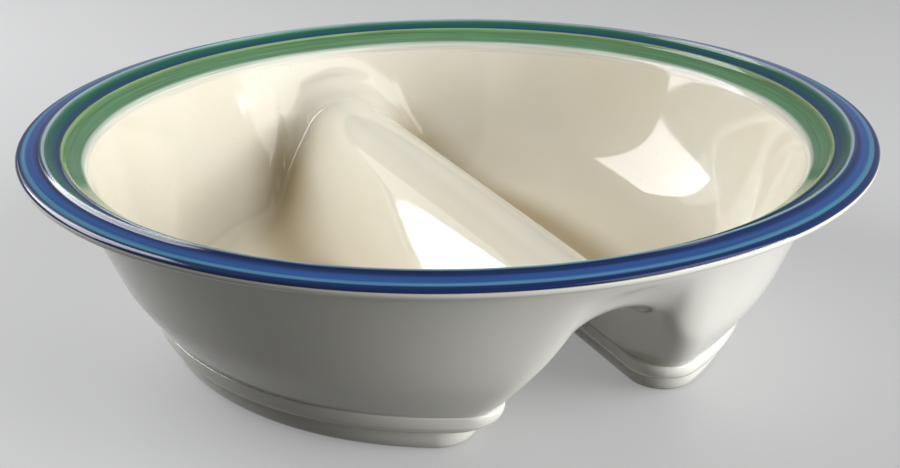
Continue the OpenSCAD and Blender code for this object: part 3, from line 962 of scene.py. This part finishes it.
def band_colour(nodes, base):
    """The brushed bands of the rim over the base colour, the same in every piece of the rim."""
    r, z, stroke = round_place(nodes)
    unsteady = nodes.math("SUBTRACT", nodes.noise(nodes.place(), WANDER_SCALE), 0.5)
    wander = nodes.math("MULTIPLY", unsteady, WANDER_W)
    moved = nodes.math("ADD", r, wander)
    low, high = BAND_STOPS[0][0], BAND_STOPS[-1][0]
    stops = [((stop_r - low) / (high - low), colour) for stop_r, colour in BAND_STOPS]
    bands = nodes.ramp(nodes.remap(moved, low, high), stops)
    bands = brushed(nodes, bands, moved, stroke)
    on_top = nodes.remap(moved, GLAZE_START, GLAZE_FULL)
    edge = nodes.math("ADD", coat_end_z - COAT_END_DROP, nodes.math("MULTIPLY", wander, COAT_END_WANDER))
    above_lip = nodes.math("DIVIDE", nodes.math("SUBTRACT", z, edge), COAT_END_FADE)
    inside_lip = nodes.math("LESS_THAN", r, RIM_R - 2 * LIP_R)
    shown = nodes.math("MINIMUM", nodes.math("MAXIMUM", above_lip, inside_lip), on_top)
    clamp = nodes.add("ShaderNodeClamp")
    nodes.link(shown, clamp.inputs["Value"])
    return nodes.mix(clamp.outputs[0], base, bands)


def cream_material(name):
    nodes = Nodes(name)
    glaze_surface(nodes, cream_colour(nodes))
    return nodes.material


def rim_material(name):
    nodes = Nodes(name)
    glaze_surface(nodes, band_colour(nodes, cream_colour(nodes)), RIM_ROUGHNESS, RIM_PEEL_SHARE, RIM_IOR)
    return nodes.material


def foot_material(name):
    """Glazed like the rest, with the resting face wiped bare."""
    nodes = Nodes(name)
    place = nodes.place()
    grain = nodes.noise(place, GRAIN_SCALE, detail=3)
    wander = nodes.math("MULTIPLY", nodes.noise(place, BARE_SCALE), BARE_WANDER * MM)
    edge = nodes.math("ADD", BARE_H * MM, wander)
    bare = nodes.math("LESS_THAN", nodes.split(place)[2], edge)
    clay = nodes.mix(nodes.remap(grain, *MIDDLE), CLAY, CLAY_DARK)
    glaze_surface(nodes, nodes.mix(bare, cream_colour(nodes), clay))
    roughness = nodes.remap(bare, 0, 1, FOOT_ROUGHNESS, BARE_ROUGHNESS)
    nodes.link(roughness, nodes.shader.inputs["Roughness"])
    return nodes.material


# The pieces of the dish

cream = cream_material("cream_glaze")
foot_glaze = foot_material("foot_clay")
hand_in(make_well("left_well_body", 1), "left_well", cream)
hand_in(make_well("right_well_body", -1), "right_well", cream)
hand_in(make_crown("divider_crown"), "divider", cream)
hand_in(make_rim("rim_flange_body"), "rim_flange", rim_material("rim_cream_glaze"))
hand_in(make_foot("left_foot_ring", 1), "left_foot", foot_glaze)
hand_in(make_foot("right_foot_ring", -1), "right_foot", foot_glaze)
COATS = (
    ("green_band", "green_band_glaze", "green_glaze"),
    ("inner_bead_line", "inner_bead_glaze", "pale_green_glaze"),
    ("teal_band", "teal_band_glaze", "teal_glaze"),
    ("outer_bead_line", "outer_bead_glaze", "pale_blue_glaze"),
    ("blue_rim", "blue_rim_glaze", "blue_glaze"),
)
for n, (name, node, slot) in enumerate(COATS):
    hand_in(make_coat(name, n), node, rim_material(slot))


# Floor and surroundings, in metres. What they show is brighter than the light that they shed.

FLOOR_SIZE = 12
FLOOR_SEEN = (0.32, 0.32, 0.323)
FLOOR_SHED = (0.07, 0.068, 0.055)
FLOOR_HAZE = 0.26
FLOOR_ROUGHNESS = 0.6
MOTTLE_SCALE = 6
MOTTLE_SHARE = 0.985
WORLD_SEEN = (0.29, 0.29, 0.295)
WORLD_SHED = (1.0, 0.98, 0.90)
WORLD_SHED_STRENGTH = 0.035


def seen_rays(tree):
    """1 for the rays that show the background: those of the camera, of gloss and of glass."""
    path = tree.nodes.new("ShaderNodeLightPath")
    either = path.outputs["Is Camera Ray"]
    for name in ("Is Glossy Ray", "Is Transmission Ray"):
        largest = tree.nodes.new("ShaderNodeMath")
        largest.operation = "MAXIMUM"
        tree.links.new(either, largest.inputs[0])
        tree.links.new(path.outputs[name], largest.inputs[1])
        either = largest.outputs[0]
    return either


def floor_material(name):
    """A pale floor that fades into the backdrop. It throws less light back at the dish than it shows."""
    nodes = Nodes(name)
    shader = nodes.shader
    mottle = nodes.remap(nodes.noise(nodes.place(), MOTTLE_SCALE, detail=3), *MOST)
    shade = nodes.mix(mottle, tuple(MOTTLE_SHARE * part for part in FLOOR_SEEN), FLOOR_SEEN)
    seen = seen_rays(nodes.tree)
    nodes.link(nodes.mix(seen, FLOOR_SHED, shade), shader.inputs["Base Color"])
    shader.inputs["Emission Color"].default_value = (1, 1, 1, 1)
    nodes.link(nodes.math("MULTIPLY", seen, FLOOR_HAZE), shader.inputs["Emission Strength"])
    nodes.material.cycles.emission_sampling = "NONE"
    shader.inputs["Roughness"].default_value = FLOOR_ROUGHNESS
    return nodes.material


def make_floor():
    bpy.ops.mesh.primitive_plane_add(size=FLOOR_SIZE)
    floor = bpy.context.object
    floor.name = "floor"
    floor.data.materials.append(floor_material("floor"))


def make_world():
    """Even pale surroundings, which shed much less light on the dish than the eye sees."""
    world = bpy.data.worlds.new("studio")
    bpy.context.scene.world = world
    world.use_nodes = True
    nodes, links = world.node_tree.nodes, world.node_tree.links
    shed = nodes["Background"]
    shed.inputs["Color"].default_value = (*WORLD_SHED, 1)
    shed.inputs["Strength"].default_value = WORLD_SHED_STRENGTH
    seen = nodes.new("ShaderNodeBackground")
    seen.inputs["Color"].default_value = (*WORLD_SEEN, 1)
    seen.inputs["Strength"].default_value = 1
    mix = nodes.new("ShaderNodeMixShader")
    links.new(seen_rays(world.node_tree), mix.inputs[0])
    links.new(shed.outputs[0], mix.inputs[1])
    links.new(seen.outputs[0], mix.inputs[2])
    links.new(mix.outputs[0], nodes["World Output"].inputs["Surface"])


# Lamps, aimed at the middle of the dish. Sizes and distances are in metres, and powers in watts.

LAMP_COLOUR = (0.98, 0.99, 1.0)
LAMP_AIM_Z = 0.04
NEST_SHARES = (1.3, 1.0, 0.7)


def soft_box(name, azimuth, elevation, distance, width, height, power, turn=0):
    """A rectangular lamp. Azimuth is counted from +X towards +Y, in degrees."""
    a, e = math.radians(azimuth), math.radians(elevation)
    aim = Vector((0, 0, LAMP_AIM_Z))
    towards = Vector((math.cos(a) * math.cos(e), math.sin(a) * math.cos(e), math.sin(e)))
    light = bpy.data.lights.new(name, "AREA")
    light.shape = "RECTANGLE"
    light.size, light.size_y = width, height
    light.energy = power
    light.color = LAMP_COLOUR
    lamp = bpy.data.objects.new(name, light)
    lamp.matrix_world = (
        Matrix.Translation(aim + towards * distance)
        @ towards.to_track_quat("Z", "Y").to_matrix().to_4x4()
        @ Matrix.Rotation(math.radians(turn), 4, "Z")
    )
    bpy.context.scene.collection.objects.link(lamp)


def make_lamps():
    """A key and a side lamp, and a glow and a fill that are nested, so that their edges are soft."""
    soft_box("key", azimuth=134, elevation=34, distance=0.95, width=0.62, height=0.60, power=8.6, turn=3)
    for n, share in enumerate(NEST_SHARES):
        soft_box(f"glow_{n}", azimuth=117, elevation=24, distance=0.95,
                 width=0.27 * share, height=0.30 * share, power=0.33 * share ** 2)
        soft_box(f"fill_{n}", azimuth=-51, elevation=31, distance=1.1,
                 width=0.62 * share, height=0.72 * share, power=3.3 * share ** 2)
    soft_box("side", azimuth=-45, elevation=9, distance=1.5, width=0.9, height=0.42, power=17)


# Camera, as fitted to the photograph: focal length and middle in its pixels, place in millimetres

PHOTO_W = 900
PHOTO_H = 468
FOCAL_PX = 1229.17
MIDDLE_PX = (448.33, 234.88)
CAMERA_AZIMUTH = math.radians(-24.396)
CAMERA_ELEVATION = math.radians(22.959)
CAMERA_ROLL = math.radians(0.573)
CAMERA_DISTANCE = 434.6
CAMERA_AIM_Z = 26.3
NEAREST_SEEN = 10
SENSOR_W = 36


def make_camera():
    a, e, roll = CAMERA_AZIMUTH, CAMERA_ELEVATION, CAMERA_ROLL
    back = Vector((math.sin(a) * math.cos(e), -math.cos(a) * math.cos(e), math.sin(e)))
    right = Vector((math.cos(a), math.sin(a), 0))
    up = back.cross(right)
    turned_right = right * math.cos(roll) - up * math.sin(roll)
    turned_up = right * math.sin(roll) + up * math.cos(roll)
    data = bpy.data.cameras.new("camera")
    data.sensor_width = SENSOR_W
    data.lens = FOCAL_PX * SENSOR_W / PHOTO_W
    data.shift_x = (PHOTO_W / 2 - MIDDLE_PX[0]) / PHOTO_W
    data.shift_y = (MIDDLE_PX[1] - PHOTO_H / 2) / PHOTO_W
    data.clip_start = NEAREST_SEEN * MM
    camera = bpy.data.objects.new("camera", data)
    turn = Matrix((turned_right, turned_up, back)).transposed().to_4x4()
    spot = (Vector((0, 0, CAMERA_AIM_Z)) + back * CAMERA_DISTANCE) * MM
    camera.matrix_world = Matrix.Translation(spot) @ turn
    bpy.context.scene.collection.objects.link(camera)
    bpy.context.scene.camera = camera


make_floor()
make_lamps()
make_world()
make_camera()
bpy.context.scene.view_settings.view_transform = "Standard"
